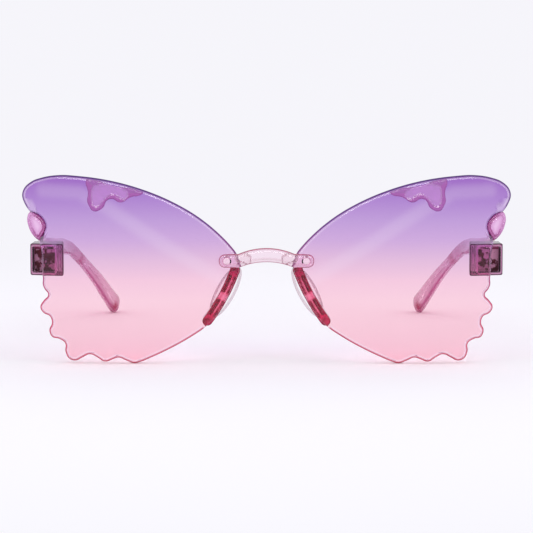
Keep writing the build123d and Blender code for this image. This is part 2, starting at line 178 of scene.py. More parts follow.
def smooth_loop(loop, step):
    """Closed curve through the points of a loop, anticlockwise, in steps no longer than given."""
    loop = anticlockwise(loop)
    arriving = loop - np.roll(loop, 1, axis=0)
    leaving = np.roll(loop, -1, axis=0) - loop
    stretch = np.linalg.norm(leaving, axis=1) / np.linalg.norm(arriving, axis=1)
    ways = unit(arriving * stretch[:, None] + leaving / stretch[:, None])
    places = []
    for index, start in enumerate(loop):
        after = (index + 1) % len(loop)
        chord = np.linalg.norm(loop[after] - start)
        count = max(1, math.ceil(chord / step))
        for t in np.arange(count) / count:
            places.append(hermite(t, start, ways[index] * chord, loop[after], ways[after] * chord))
    return np.array(places)


def soften_loop(loop, spread):
    """Closed line with its corners eased, spread in points."""
    reach = np.arange(-3 * spread, 3 * spread + 1)
    weights = np.exp(-0.5 * (reach / spread) ** 2)
    weights /= weights.sum()
    return sum(np.roll(loop, shift, axis=0) * weight for shift, weight in zip(reach, weights))


def even_loop(loop, step):
    """Closed line through the points of a loop, anticlockwise, in even steps along each side."""
    loop = anticlockwise(loop)
    places = []
    for start, end in zip(loop, np.roll(loop, -1, axis=0)):
        count = max(1, math.ceil(np.linalg.norm(end - start) / step))
        places += [start + (end - start) * index / count for index in range(count)]
    return np.array(places)


def line_distance(line, points):
    """Distance from each point to a line of points."""
    best = np.full(len(points), np.inf)
    for start, end in zip(line, line[1:]):
        way = end - start
        share = np.clip(((points - start) @ way) / max(way @ way, 1e-12), 0.0, 1.0)
        best = np.minimum(best, np.linalg.norm(points - start - share[:, None] * way, axis=1))
    return best


def loop_distance(loop, points):
    """Distance from each point to a closed loop."""
    return line_distance(np.concatenate((loop, loop[:1])), points)


def inside(loop, points):
    """Which points lie inside a closed loop."""
    result = np.zeros(len(points), bool)
    for start, end in zip(loop, np.roll(loop, -1, axis=0)):
        crosses = (start[1] > points[:, 1]) != (end[1] > points[:, 1])
        rise = end[1] - start[1]
        if rise:
            reach = start[0] + (points[:, 1] - start[1]) / rise * (end[0] - start[0])
            result ^= crosses & (points[:, 0] < reach)
    return result


def nearest_to(line, points):
    """Index of the point of a line that is nearest to each point."""
    return np.linalg.norm(points[:, None] - line[None], axis=2).argmin(axis=1)


def kept_inside(line, loop, margin):
    """Points of a line, moved where they are nearer than the margin to a loop or outside it."""
    inward = inward_ways(loop)
    nearest = nearest_to(loop, line)
    depth = ((line - loop[nearest]) * inward[nearest]).sum(axis=1)
    return line + inward[nearest] * np.maximum(margin - depth, 0.0)[:, None]


def ramp_down(distance, start, end):
    """1 up to start, falling smoothly to 0 at end."""
    share = np.clip((distance - start) / (end - start), 0.0, 1.0)
    return 1.0 - share * share * (3.0 - 2.0 * share)


def ramp_up(distance, start, end):
    """0 up to start, rising smoothly to 1 at end."""
    return 1.0 - ramp_down(distance, start, end)


def band(distance, middle, half_width):
    """1 on a line, falling smoothly to 0 on both sides."""
    return ramp_down(np.abs(distance - middle), 0.0, half_width)


def smooth_value(share, knots, values):
    """Value between knots, easing at each."""
    slopes = np.gradient(np.array(values), np.array(knots))
    index = min(max(int(np.searchsorted(knots, share)) - 1, 0), len(knots) - 2)
    span = knots[index + 1] - knots[index]
    t = (share - knots[index]) / span
    return hermite(
        t, values[index], span * slopes[index], values[index + 1], span * slopes[index + 1]
    )


CORNER_STEPS = 8


def rounded_box(centre, size, corner, tilt=0.0):
    """Rounded rectangle as a loop, tilted by degrees."""
    places = []
    for sign_x, sign_z, start in ((1, 1, 0), (-1, 1, 90), (-1, -1, 180), (1, -1, 270)):
        middle = (sign_x * (size[0] / 2 - corner), sign_z * (size[1] / 2 - corner))
        for index in range(CORNER_STEPS + 1):
            angle = math.radians(start + 90.0 * index / CORNER_STEPS)
            places.append(
                (middle[0] + corner * math.cos(angle), middle[1] + corner * math.sin(angle))
            )
    turn = math.radians(tilt)
    matrix = np.array(((math.cos(turn), math.sin(turn)), (-math.sin(turn), math.cos(turn))))
    return np.array(places) @ matrix + np.array(centre)


def mirrored(side, line):
    """A line drawn on the right half, on the side asked for."""
    return np.array([(side * out, level) for out, level in line])


def sphere_y(side, points, radius):
    """Y of a lens sphere at places in the face plane."""
    across = points[:, 0] - side * LENS_CENTRE_OUT
    above = points[:, 1] - LENS_CENTRE_LEVEL
    return SPHERE_Y - np.sqrt(radius**2 - across**2 - above**2)


# Meshes

# Angles at which a round rim is cut, in degrees from the outline
RING_ANGLES = (0.0, 10.0, 20.0, 31.0, 43.0, 56.0, 72.0, 90.0)
# Shares of a ring's offset and of the grid's spacing that keep points apart
RING_CLEARANCE = 0.93
GRID_CLEARANCE = 0.45
ROW_PITCH = 0.866
# Distances at which two places count as one
ON_LINE = 1e-5
TOUCHING = 1e-4
# Steps for slopes, and for turning directions with the corners
PROBE = 0.008
NUDGE = 0.01


def sheet_of(loops, rims, spacing):
    """Points and triangles inside an outline and round its holes, finest at the rims."""
    rings = []
    for index, (loop, rim) in enumerate(zip(loops, rims)):
        inward = inward_ways(loop) * (1.0 if index == 0 else -1.0)
        for angle in RING_ANGLES:
            offset = rim * (1.0 - math.cos(math.radians(angle)))
            ring = loop + inward * offset
            if angle:
                ring = ring[loop_distance(loop, ring) > RING_CLEARANCE * offset]
            rings.append(ring)
    low, high = loops[0].min(axis=0), loops[0].max(axis=0)
    grid_x, grid_z = np.meshgrid(
        np.arange(low[0], high[0], spacing), np.arange(low[1], high[1], spacing * ROW_PITCH)
    )
    grid_x[::2] += spacing / 2
    grid = np.stack((grid_x.ravel(), grid_z.ravel()), axis=1)
    grid = grid[inside(loops[0], grid)]
    for hole in loops[1:]:
        grid = grid[~inside(hole, grid)]
    for loop, rim in zip(loops, rims):
        clear = rim + GRID_CLEARANCE * spacing
        grid = grid[loop_distance(loop, grid) > clear]
    edges = []
    first = 0
    for index, ring in enumerate(rings):
        count = len(ring)
        if index % len(RING_ANGLES) == 0:
            edges += [(first + step, first + (step + 1) % count) for step in range(count)]
        first += count
    points = np.concatenate(rings + [grid])
    made = delaunay_2d_cdt([Vector(point) for point in points], edges, [], 1, ON_LINE)
    points = points[[sources[0] for sources in made[3]]]
    faces = np.array(made[2])
    for hole in loops[1:]:
        faces = faces[~inside(hole, points[faces].mean(axis=1))]
    used = np.unique(faces)
    renumber = np.full(len(points), -1)
    renumber[used] = np.arange(len(used))
    return points[used], renumber[faces]


def rim_measures(loops, rims, points):
    """Roundness, 0 on an outline and 1 where its rim ends, and distance to the outlines."""
    distance = np.full(len(points), np.inf)
    roundness = np.ones(len(points))
    for loop, rim in zip(loops, rims):
        reach = loop_distance(loop, points)
        reach[reach < ON_LINE] = 0.0
        share = np.clip(1.0 - reach / rim, 0.0, 1.0)
        roundness = np.minimum(roundness, np.sqrt(1.0 - share**2))
        distance = np.minimum(distance, reach)
    return roundness, distance


def surface_ways(loops, rims, points, distance, surfaces):
    """Directions that the front and the back face at each point."""
    slopes = []
    for shift in ((PROBE, 0.0), (0.0, PROBE)):
        after, before = [
            surfaces(at, *rim_measures(loops, rims, at))
            for at in (points + np.array(shift), points - np.array(shift))
        ]
        slopes.append([(after[sheet] - before[sheet]) / (2 * PROBE) for sheet in (0, 1)])
    sheets = []
    for sheet, sign in ((0, -1.0), (1, 1.0)):
        level = np.full(len(points), sign)
        ways = np.stack((-sign * slopes[0][sheet], level, -sign * slopes[1][sheet]), axis=1)
        sheets.append(unit(ways))
    for index, loop in enumerate(loops):
        outward = inward_ways(loop) * (-1.0 if index == 0 else 1.0)
        outward = np.insert(outward, 1, 0.0, axis=1)
        for at in np.where(distance == 0.0)[0]:
            gaps = np.linalg.norm(loop - points[at], axis=1)
            if gaps.min() < TOUCHING:
                sheets[0][at] = sheets[1][at] = outward[gaps.argmin()]
    return sheets


def plate(node, suffix, slot, loops, rims, spacing, surfaces, looks, place=None):
    """Closed solid over an outline with holes, between a front and a back, with round rims.

    surfaces(points, roundness, distance) gives front and back Y, where roundness is 0 on the
    outline and 1 where the rim ends. looks(points, distance) gives how deep and how light the
    colour is painted there, mostly as painted shade and painted highlights.
    place(corners) moves the finished corners."""
    points, faces = sheet_of(loops, rims, spacing)
    roundness, distance = rim_measures(loops, rims, points)
    front, back = surfaces(points, roundness, distance)
    ways = np.concatenate(surface_ways(loops, rims, points, distance, surfaces))
    total = len(points)
    closed = (distance == 0.0) & (back - front < TOUCHING)
    back_index = np.where(closed, np.arange(total), total + np.arange(total))
    corners = np.concatenate([np.insert(points, 1, depth, axis=1) for depth in (front, back)])
    sheets = [tuple(face) for face in faces] + [tuple(back_index[face[::-1]]) for face in faces]
    directed = {(face[i], face[(i + 1) % 3]) for face in faces for i in range(3)}
    for start, end in sorted(directed):
        if (end, start) not in directed and not (closed[start] and closed[end]):
            sheets.append((end, start, back_index[start], back_index[end]))
    keep = np.unique(np.array([index for sheet in sheets for index in sheet]))
    renumber = np.full(len(corners), -1)
    renumber[keep] = np.arange(len(keep))
    if place:
        ways = unit(place(corners + NUDGE * ways) - place(corners))
        corners = place(corners)
    faces = [tuple(int(renumber[index]) for index in dict.fromkeys(sheet)) for sheet in sheets]
    traits = [np.tile(np.clip(values, 0.0, 1.0), 2)[keep] for values in looks(points, distance)]
    piece = new_piece(f"{node}_{suffix}", corners[keep], faces, traits, ways[keep])
    fit(piece, node, "front", slot)


def ring_faces(rings, count, closed=False):
    """Faces between rings of corners, and from the last ring to the first if closed."""
    faces = []
    for ring in range(rings if closed else rings - 1):
        here, ahead = ring * count, (ring + 1) % rings * count
        for step in range(count):
            after = (step + 1) % count
            faces.append((here + step, here + after, ahead + after, ahead + step))
    return faces


def new_piece(name, corners, faces, traits=(), ways=None):
    """Smooth object in the scene, with how deep and how light it is kept at its corners."""
    mesh = bpy.data.meshes.new(name)
    mesh.from_pydata([tuple(corner * MM) for corner in corners], [], faces)
    for trait, values in zip(("deep", "light"), traits):
        mesh.attributes.new(trait, "FLOAT", "POINT").data.foreach_set("value", values)
    mesh.shade_smooth()
    if ways is not None:
        mesh.normals_split_custom_set_from_vertices([tuple(way) for way in ways])
    piece = bpy.data.objects.new(name, mesh)
    bpy.context.scene.collection.objects.link(piece)
    return piece


def fit(piece, node, body, slot):
    """Put a piece in a CAD node's stead, with the material of its slot."""
    piece.data.materials.append(materials[slot])
    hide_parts(node)
    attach(piece, body)


# Materials

def feed(tree, node, inputs):
    """Set inputs of a node, or join them to the sockets given for them."""
    for key, value in inputs.items():
        if isinstance(value, bpy.types.NodeSocket):
            tree.links.new(value, node.inputs[key])
        else:
            node.inputs[key].default_value = (*value, 1.0) if isinstance(value, tuple) else value
    return node


def add_node(tree, kind, inputs):
    """New node of a kind, with its inputs."""
    return feed(tree, tree.nodes.new(f"ShaderNode{kind}"), inputs)


def new_material(name):
    """An empty node material and its tree."""
    material = bpy.data.materials.new(name)
    material.use_nodes = True
    material.node_tree.nodes.clear()
    return material, material.node_tree


def object_position(tree):
    """Place of a point on the object, in metres."""
    return add_node(tree, "TexCoord", {}).outputs["Object"]


def trait_of(tree, name):
    """Number kept at the mesh's corners."""
    attribute = add_node(tree, "Attribute", {})
    attribute.attribute_name = name
    return attribute.outputs["Fac"]


def noise(tree, scale, detail=2.0):
    """Noise over the object."""
    inputs = {"Scale": scale, "Detail": detail, "Vector": object_position(tree)}
    return add_node(tree, "TexNoise", inputs).outputs["Fac"]


def mix_colours(tree, first, second, factor, blend_type="MIX"):
    """Mix of two colours, each a socket or a constant, as is the factor."""
    mix = add_node(tree, "Mix", {})
    mix.data_type = "RGBA"
    mix.blend_type = blend_type
    return feed(tree, mix, {"A": first, "B": second, "Factor": factor}).outputs["Result"]


def mix_shaders(tree, share, first, second):
    """Mix of two shaders, as the surface of the tree's material."""
    mix = {0: share, 1: first.outputs[0], 2: second.outputs[0]}
    add_node(tree, "OutputMaterial", {"Surface": add_node(tree, "MixShader", mix).outputs[0]})


def colour_by_level(tree, levels):
    """Colour that changes with height above the table."""
    split = add_node(tree, "SeparateXYZ", {0: object_position(tree)})
    share = add_node(tree, "MapRange", {"From Max": CAD_HEIGHT, "Value": split.outputs["Z"]})
    ramp = add_node(tree, "ValToRGB", {"Fac": share.outputs["Result"]})
    stops = ramp.color_ramp.elements
    while len(stops) < len(levels):
        stops.new(0.5)
    for stop, (level, colour) in zip(stops, levels):
        stop.position = level / CAD_HEIGHT
        stop.color = (*colour, 1.0)
    return ramp.outputs["Color"]


def lens_colour(tree):
    """Graded tint, paler at the painted highlight, painted reflection and necks, and with painted
    shade as a dark line on the edge.
    """
    tint = colour_by_level(tree, LENS_LEVELS)
    pale = mix_colours(tree, tint, PALE_TINT, PALE_SHARE)
    tint = mix_colours(tree, tint, pale, trait_of(tree, "light"))
    return mix_colours(tree, tint, colour_by_level(tree, EDGE_SHADE_LEVELS), trait_of(tree, "deep"))


WANDER_DETAIL = 3.0


def moulded(first, second, scale, light, deep):
    """Colour maker: wanders between two colours, with lighter and deeper places that mostly paint
    highlights and shade.
    """

    def colour_of(tree):
        colour = mix_colours(tree, first, second, noise(tree, scale, WANDER_DETAIL))
        colour = mix_colours(tree, colour, light, trait_of(tree, "light"))
        return mix_colours(tree, colour, deep, trait_of(tree, "deep"))

    return colour_of


def deepen(tree, colour, turned, blend):
    """Colour that deepens where the surface turns away."""
    facing = add_node(tree, "LayerWeight", {"Blend": blend})
    return mix_colours(tree, colour, turned, facing.outputs["Facing"], "MULTIPLY")


def fine_bump(tree, scale, strength, distance):
    """Slight unevenness of a moulded or polished surface."""
    inputs = {"Strength": strength, "Distance": distance, "Height": noise(tree, scale)}
    return add_node(tree, "Bump", inputs).outputs["Normal"]


# Scale, strength and distance of the bumps
PLASTIC_BUMP = (260.0, 0.25, 0.00002)
STEEL_BUMP = (2500.0, 0.2, 0.00005)
COAT_ROUGHNESS = 0.03
WHITE = (1.0, 1.0, 1.0)


def see_through(
    name, colour_of, ior, turned, blend, coat=0.0, roughness=0.0, milk=0.0, body=0.0,
    paleness=SHADOW_PALENESS,
):
    """See-through plastic with a polished skin, whose shadow is tinted like it.

    turned and blend deepen the colour where the surface turns away. milk is how cloudy it is all
    over, body how opaque its light places are, and paleness how pale its shadow is. Deep places,
    mostly painted shade, are opaque; light places are mostly painted highlights."""
    material, tree = new_material(name)
    colour = colour_of(tree)
    opaque = add_node(tree, "Math", {})
    opaque.operation = "MULTIPLY_ADD"
    opaque.use_clamp = True
    feed(tree, opaque, {0: trait_of(tree, "light"), 1: body, 2: trait_of(tree, "deep")})
    inputs = {"To Min": 1.0 - milk, "To Max": 0.0, "Value": opaque.outputs["Value"]}
    inputs = {
        "Transmission Weight": add_node(tree, "MapRange", inputs).outputs["Result"],
        "IOR": ior,
        "Roughness": roughness,
        "Coat Weight": coat,
        "Coat Roughness": COAT_ROUGHNESS,
        "Base Color": deepen(tree, colour, turned, blend),
        "Normal": fine_bump(tree, *PLASTIC_BUMP),
    }
    shader = add_node(tree, "BsdfPrincipled", inputs)
    inputs = {"Color": mix_colours(tree, colour, WHITE, paleness)}
    shadow = add_node(tree, "BsdfTransparent", inputs)
    shadow_ray = add_node(tree, "LightPath", {}).outputs["Is Shadow Ray"]
    mix_shaders(tree, shadow_ray, shader, shadow)
    return material


PATCH_EDGE = (0.50, 0.57)


def steel(name, first, second, scale, roughness, metallic):
    """Metal with patches of two colours and a faint grain; on the hinge the patches are painted
    reflections and painted shade.
    """
    material, tree = new_material(name)
    low, high = PATCH_EDGE
    inputs = {"From Min": low, "From Max": high, "Value": noise(tree, scale)}
    patches = add_node(tree, "MapRange", inputs).outputs["Result"]
    inputs = {
        "Metallic": metallic,
        "Roughness": roughness,
        "Base Color": mix_colours(tree, first, second, patches),
        "Normal": fine_bump(tree, *STEEL_BUMP),
    }
    shader = add_node(tree, "BsdfPrincipled", inputs)
    add_node(tree, "OutputMaterial", {"Surface": shader.outputs[0]})
    return material


# Moulded plastics by slot: name; the two colours that the base wanders between, the scale of that,
# and the colours of light and deep places, mostly painted highlights and painted shade; then IOR,
# the colour where the surface turns away and how soon it does, coat, roughness, milk, body and the
# shadow's paleness
PLASTICS = {
    "wing_bead": (
        "bead_pink",
        ((0.74, 0.36, 0.68), (0.80, 0.42, 0.74), 60.0, (0.95, 0.64, 0.92), (0.38, 0.04, 0.24)),
        (1.12, (0.55, 0.3, 0.5), 0.35, 0.6),
    ),
    "wing_drop": (
        "drop_pink",
        ((0.50, 0.22, 0.58), (0.56, 0.26, 0.62), 60.0, (0.84, 0.52, 0.90), (0.40, 0.09, 0.40)),
        (1.12, (0.6, 0.4, 0.6), 0.35, 0.6, 0.0, 0.45),
    ),
    "bridge": (
        "bridge_clear",
        ((0.97, 0.78, 0.87), (1.00, 0.89, 0.95), 300.0, (1.0, 0.99, 1.0), (0.46, 0.012, 0.11)),
        (1.14, (0.58, 0.26, 0.40), 0.30, 0.4),
    ),
    "carrier": (
        "carrier_raspberry",
        ((0.72, 0.012, 0.13), (0.98, 0.08, 0.28), 420.0, (1.00, 0.56, 0.72), (0.15, 0.000, 0.022)),
        (1.10, (0.62, 0.22, 0.32), 0.30, 0.3, 0.05, 0.55, 0.7),
    ),
    "nose_pad": (
        "pad_silicone",
        ((0.985, 0.96, 0.97), (0.995, 0.975, 0.985), 90.0, (1.0, 1.0, 1.0), (0.62, 0.48, 0.54)),
        (1.06, (0.75, 0.66, 0.70), 0.20, 0.3, 0.03),
    ),
    "end_block": (
        "block_plum",
        ((0.66, 0.36, 0.52), (0.80, 0.48, 0.64), 260.0, (0.84, 0.40, 0.66), (0.08, 0.012, 0.045)),
        (1.06, (0.50, 0.22, 0.38), 0.25, 0.3, 0.0, 0.0, 1.0, 0.95),
    ),
    "temple": (
        "temple_mauve",
        ((0.61, 0.13, 0.38), (0.71, 0.19, 0.45), 60.0, (1.00, 0.78, 0.90), (0.46, 0.03, 0.13)),
        (1.15, (0.55, 0.20, 0.45), 0.40, 0.3, 0.10, 0.60),
    ),
}


def make_materials():
    """One material for each of the record's slots."""
    made = {"lens": see_through("lens_tint", lens_colour, 1.32, (0.75, 0.55, 0.75), 0.25)}
    for slot, (name, colours, answer) in PLASTICS.items():
        made[slot] = see_through(name, moulded(*colours), *answer)
    # The hinge's dark crimson and bright pink patches are painted reflections of the plastic round
    # it, and painted shade
    made["hinge"] = steel("hinge_steel", (0.14, 0.004, 0.025), (1.00, 0.72, 0.84), 420.0, 0.30, 0.6)
    made["rivet"] = steel("rivet_steel", (0.92, 0.86, 0.90), (1.00, 0.98, 1.00), 900.0, 0.18, 1.0)
    return made


def dress_nodes():
    """Give each CAD node the material of its slot."""
    for part in frame["record"]["subparts"]:
        node = frame["nodes"][part["node"]]
        node.data.materials.clear()
        node.data.materials.append(materials[part["material_slot"]])


# Lens

LENS_RIM = 1.3
HOLE_RIM = 0.15
LENS_GRID = 1.2
# Painted shade as a dark line on the edge, and a painted highlight as a pale band inside it,
# by distance from the outline
LENS_SHADE_LINE = (0.34, 0.74)
LENS_HIGHLIGHT_BAND = (0.88, 0.40)
# Where both fade: over the block, along the carrier and by the bead
BLOCK_INNER = 64.9
BLOCK_HALF = 5.1
BLOCK_FADE = (-0.2, 0.2)
CARRIER_FADE = (2.2, 2.6)
BEAD_FADE = (0.6, 2.2)
# Painted reflection: a soft pale band across the wing
REFLECTION_LINE = ((71.5, 55.6), (59.7, 55.0), (50.1, 49.9), (32.6, 38.4), (15.0, 27.5))
REFLECTION_FADE = (0.6, 3.6)
# Necks above and below the bead: inner line, its lowest and highest level, and its strength
NECKS = (
    (
        ((77.9, 53.4), (76.6, 52.9), (75.3, 52.1), (74.3, 50.8), (73.7, 49.6), (73.0, 48.0)),
        47.0, 53.4, 0.18,
    ),
    (((71.6, 41.6), (71.0, 40.7), (70.2, 40.0), (68.6, 38.9), (66.6, 37.9)), 38.2, 41.6, 0.25),
)
NECK_LINE = (0.0, 0.28)


def make_lens(name, side):
    """Curved wing with a polished round rim, and a hole for the bridge peg."""
    node = f"lens_{name}"
    outline, hole = loops_of(node, 1.0)[:2]
    outline = soften_loop(smooth_loop(outline, 0.30), 2)
    hole = smooth_loop(hole, 0.2)
    # Line of the painted reflection across the wing
    glow = mirrored(side, REFLECTION_LINE)
    carrier = carrier_arc(side)
    bead = loops_of(f"wing_bead_{name}", -1.0)[0]

    def surfaces(points, roundness, distance):
        front = sphere_y(side, points, FRONT_RADIUS)
        back = sphere_y(side, points, BACK_RADIUS)
        middle, half = (front + back) / 2, (back - front) / 2
        return middle - half * roundness, middle + half * roundness

    def in_neck(points):
        out, level = side * points[:, 0], points[:, 1]
        zone = np.zeros(len(points), bool)
        for line, low, high, _ in NECKS:
            outs, levels = zip(*line[::-1])
            zone |= (level > low) & (level < high) & (out > np.interp(level, levels, outs))
        return zone

    def looks(points, distance):
        reach = loop_distance(outline, points)
        gap = np.maximum(
            BLOCK_INNER - side * points[:, 0], np.abs(points[:, 1] - BLOCK_LEVEL) - BLOCK_HALF
        )
        strip = ramp_down(line_distance(carrier, points), *CARRIER_FADE)
        seen = 1.0 - np.maximum(0.85 * ramp_down(gap, *BLOCK_FADE), strip)
        off = ramp_up(loop_distance(bead, points), *BEAD_FADE) * ~inside(bead, points)
        # Painted shade: dark line on the edge, weaker by the bead and faded over the block and
        # carrier
        deep = ramp_down(reach, *LENS_SHADE_LINE) * seen * (0.30 + 0.70 * off)
        for line, _, _, strength in NECKS:
            gap = line_distance(mirrored(side, line), points)
            deep = np.maximum(deep, strength * band(gap, *NECK_LINE))
        # Painted highlight: pale band inside the rim
        rim = 0.95 * band(reach, *LENS_HIGHLIGHT_BAND) * seen * off
        # Painted reflection: soft pale band across the wing
        painted_reflection = 0.26 * ramp_down(line_distance(glow, points), *REFLECTION_FADE)
        return deep, np.maximum(np.maximum(rim, painted_reflection), 0.45 * in_neck(points))

    loops, rims = [outline, hole], [LENS_RIM, HOLE_RIM]
    plate(node, "pane", "lens", loops, rims, LENS_GRID, surfaces, looks)


# Bead

BEAD_CENTRE = (74.16, 44.47)
BEAD_HALF = 1.7
BEAD_CROWN = 14.0
BEAD_RIM = 0.5
BEAD_GRID = 0.35
# Groove inside the rim, then painted shade as dark lines at the outline and in the groove and as
# a darker border, and a painted highlight in the heart, by distance from the outline
GROOVE = (0.95, 0.35)
BEAD_SHADE_LINE = (0.05, 0.40)
GROOVE_SHADE_LINE = (0.95, 0.28)
BEAD_SHADE_BORDER = (0.8, 1.1)
BEAD_HIGHLIGHT = (1.3, 2.6)


def make_bead(name, side):
    """Almond cabochon with a domed face inside a rim."""
    node = f"wing_bead_{name}"
    outline = smooth_loop(loops_of(node, -1.0)[0], 0.25)
    centre = np.array((side * BEAD_CENTRE[0], BEAD_CENTRE[1]))

    def surfaces(points, roundness, distance):
        middle = (sphere_y(side, points, FRONT_RADIUS) + sphere_y(side, points, BACK_RADIUS)) / 2
        reach = np.linalg.norm(points - centre, axis=1)
        half = BEAD_HALF - BEAD_CROWN + np.sqrt(BEAD_CROWN**2 - reach**2)
        groove = 0.35 * band(distance, *GROOVE)
        return middle - half * roundness + groove, middle + half * roundness

    def looks(points, distance):
        # Painted shade as dark lines at the outline and groove, stronger on the nose side with a
        # darker border there; painted highlight in the heart
        nose_side = np.clip(0.5 - 0.45 * side * (points[:, 0] - centre[0]), 0.0, 1.0)
        lines = np.maximum(ramp_down(distance, *BEAD_SHADE_LINE), band(distance, *GROOVE_SHADE_LINE))
        border = 0.5 * nose_side * ramp_down(distance, *BEAD_SHADE_BORDER)
        deep = lines * (0.35 + 0.65 * nose_side) + border
        return deep, 0.8 * ramp_up(distance, *BEAD_HIGHLIGHT)

    plate(node, "cabochon", "wing_bead", [outline], [BEAD_RIM], BEAD_GRID, surfaces, looks)


# Drop

DROP_MARGIN = 0.62
DROP_CELL = (
    (55.4, 56.75), (54.0, 57.5), (51.8, 57.7), (48.9, 57.1), (46.0, 56.3), (44.5, 55.6),
    (44.0, 54.5), (44.5, 53.4), (45.7, 53.0), (47.3, 53.9), (48.9, 54.6), (50.8, 53.7),
    (52.1, 52.2), (53.35, 50.9), (54.6, 50.7), (55.4, 51.7), (55.7, 53.6), (55.7, 55.5),
)
DROP_HEIGHT = 0.74
CELL_DEPTH = 0.32
DROP_RIM = 0.55
DROP_GRID = 0.30
# How far the outline faces up where the ridge melts into the lens, then the cell's edge, painted
# shade along the outline and a pale line round the cell
DROP_MELT = (0.35, 0.75)
CELL_EDGE = (0.0, 0.3)
DROP_SHADE_LINE = (0.12, 0.45)
CELL_LINE = (0.0, 0.25)


def make_drop(name, side):
    """Raised drop: a round ridge along its edge about a lower cell."""
    node = f"wing_drop_{name}"
    rim = smooth_loop(loops_of(f"lens_{name}", 1.0)[0], 0.25)
    outline = kept_inside(smooth_loop(loops_of(node, 1.0)[0], 0.25), rim, DROP_MARGIN)
    cell = smooth_loop(mirrored(side, DROP_CELL), 0.3)
    upward = -inward_ways(outline)[:, 1]

    def in_cell(points):
        reach = loop_distance(cell, points)
        way = np.where(inside(cell, points), 1.0, -1.0)
        return 0.5 + 0.5 * way * ramp_up(reach, *CELL_EDGE)

    def surfaces(points, roundness, distance):
        ground = sphere_y(side, points, FRONT_RADIUS) - BOND_GAP
        return ground - (DROP_HEIGHT - CELL_DEPTH * in_cell(points)) * roundness, ground

    def looks(points, distance):
        # Painted shade on the ridge and along the outline, less where the ridge melts into the
        # lens; a paler cell with a pale line round it
        cell_share = in_cell(points)
        melted = ramp_up(upward[nearest_to(outline, points)], *DROP_MELT)
        ridge = (0.75 - 0.45 * melted) * (1.0 - cell_share)
        line = (0.95 - 0.80 * melted) * ramp_down(distance, *DROP_SHADE_LINE)
        rim = 0.8 * band(loop_distance(cell, points), *CELL_LINE)
        return np.maximum(ridge, line), np.maximum(0.55 * cell_share, rim)

    plate(node, "ridge", "wing_drop", [outline], [DROP_RIM], DROP_GRID, surfaces, looks)


# Bridge

BRIDGE_LEVEL = 33.275
BRIDGE_RIM = 1.5
BRIDGE_GRID = 0.4
ARCH_END = 9.0
ARCH_HALF = 2.25
ARCH_RISE = 1.9
ARCH_DEPTH = 4.2
ARCH_POINTS = 37
LUG_OUT = 12.1
LUG_LENGTH = 6.2
LUG_HALF = 2.1
LUG_CORNER = 1.9
LUG_FRONT = 0.7
LUG_STEP = (8.6, 10.4)
# How far on each side of the arch's end its back comes down to the lens
LUG_BLEND = 0.5
WINDOW_OUT = 7.4
WINDOW_RISE = 0.75
WINDOW_SIZE = (4.8, 2.6)
WINDOW_CORNER = 0.9
WINDOW_TILT = 13.0
WINDOW_EDGE = (0.0, 0.3)
# Painted shade as lines and a painted highlight as a band, by distance from the outline or a
# window's edge
BRIDGE_SHADE_LINE = (0.08, 0.42)
INNER_SHADE_LINE = (1.15, 0.26)
BRIDGE_HIGHLIGHT_BAND = (0.75, 0.30)
WINDOW_SHADE_LINE = (0.0, 0.26)


def arch_line(level):
    """One edge of the arch, from the left to the right."""
    radius = (ARCH_END**2 + ARCH_RISE**2) / (2 * ARCH_RISE)
    reach = np.linspace(-ARCH_END, ARCH_END, ARCH_POINTS)
    lift = np.sqrt(radius**2 - reach**2) - radius + ARCH_RISE
    return np.stack((reach, level + lift), axis=1)


def make_bridge():
    """Clear bar across the nose with a lug on each lens and a window at each end."""
    lug = rounded_box((LUG_OUT, BRIDGE_LEVEL), (LUG_LENGTH, 2 * LUG_HALF), LUG_CORNER)
    lug = lug[lug[:, 0] > LUG_OUT]
    lug = lug[np.argsort(np.arctan2(lug[:, 1] - BRIDGE_LEVEL, lug[:, 0] - LUG_OUT))]
    low, high = [arch_line(BRIDGE_LEVEL + half) for half in (-ARCH_HALF, ARCH_HALF)]
    outline = np.concatenate((low, lug, high[::-1], lug[::-1] * np.array((-1.0, 1.0))))
    outline = even_loop(outline, 0.3)
    windows = [
        rounded_box(
            (side * WINDOW_OUT, BRIDGE_LEVEL + WINDOW_RISE), WINDOW_SIZE, WINDOW_CORNER,
            side * WINDOW_TILT,
        )
        for side in SIDES.values()
    ]

    def window_share(points):
        share = np.zeros(len(points))
        for window in windows:
            reach = loop_distance(window, points)
            share = np.maximum(share, inside(window, points) * ramp_up(reach, *WINDOW_EDGE))
        return share

    def surfaces(points, roundness, distance):
        out = np.abs(points[:, 0])
        front = FRAME_FRONT_Y + LUG_FRONT * ramp_up(out, *LUG_STEP)
        lens = sphere_y(1, np.stack((out, points[:, 1]), axis=1), FRONT_RADIUS) - BOND_GAP
        arch = np.full(len(points), FRAME_FRONT_Y + ARCH_DEPTH)
        back = np.where(out > ARCH_END - LUG_BLEND, np.minimum(lens, arch), arch)
        back = np.where(out > ARCH_END + LUG_BLEND, lens, back)
        rounding = 0.42 * (back - front) * (1.0 - roundness)
        return front + rounding, back - rounding - 1.6 * window_share(points)

    def looks(points, distance):
        # Painted shade as dark lines at the outline, inside it and round the windows, a little
        # darker inside the windows; painted highlight as a band inside the outline
        deep = np.maximum(ramp_down(distance, *BRIDGE_SHADE_LINE), 0.25 * band(distance, *INNER_SHADE_LINE))
        for window in windows:
            reach = loop_distance(window, points)
            deep = np.maximum(deep, 0.45 * band(reach, *WINDOW_SHADE_LINE))
            deep = np.maximum(deep, 0.10 * inside(window, points))
        return deep, 0.7 * band(distance, *BRIDGE_HIGHLIGHT_BAND)

    plate("bridge", "bar", "bridge", [outline], [BRIDGE_RIM], BRIDGE_GRID, surfaces, looks)


# Carrier and pad

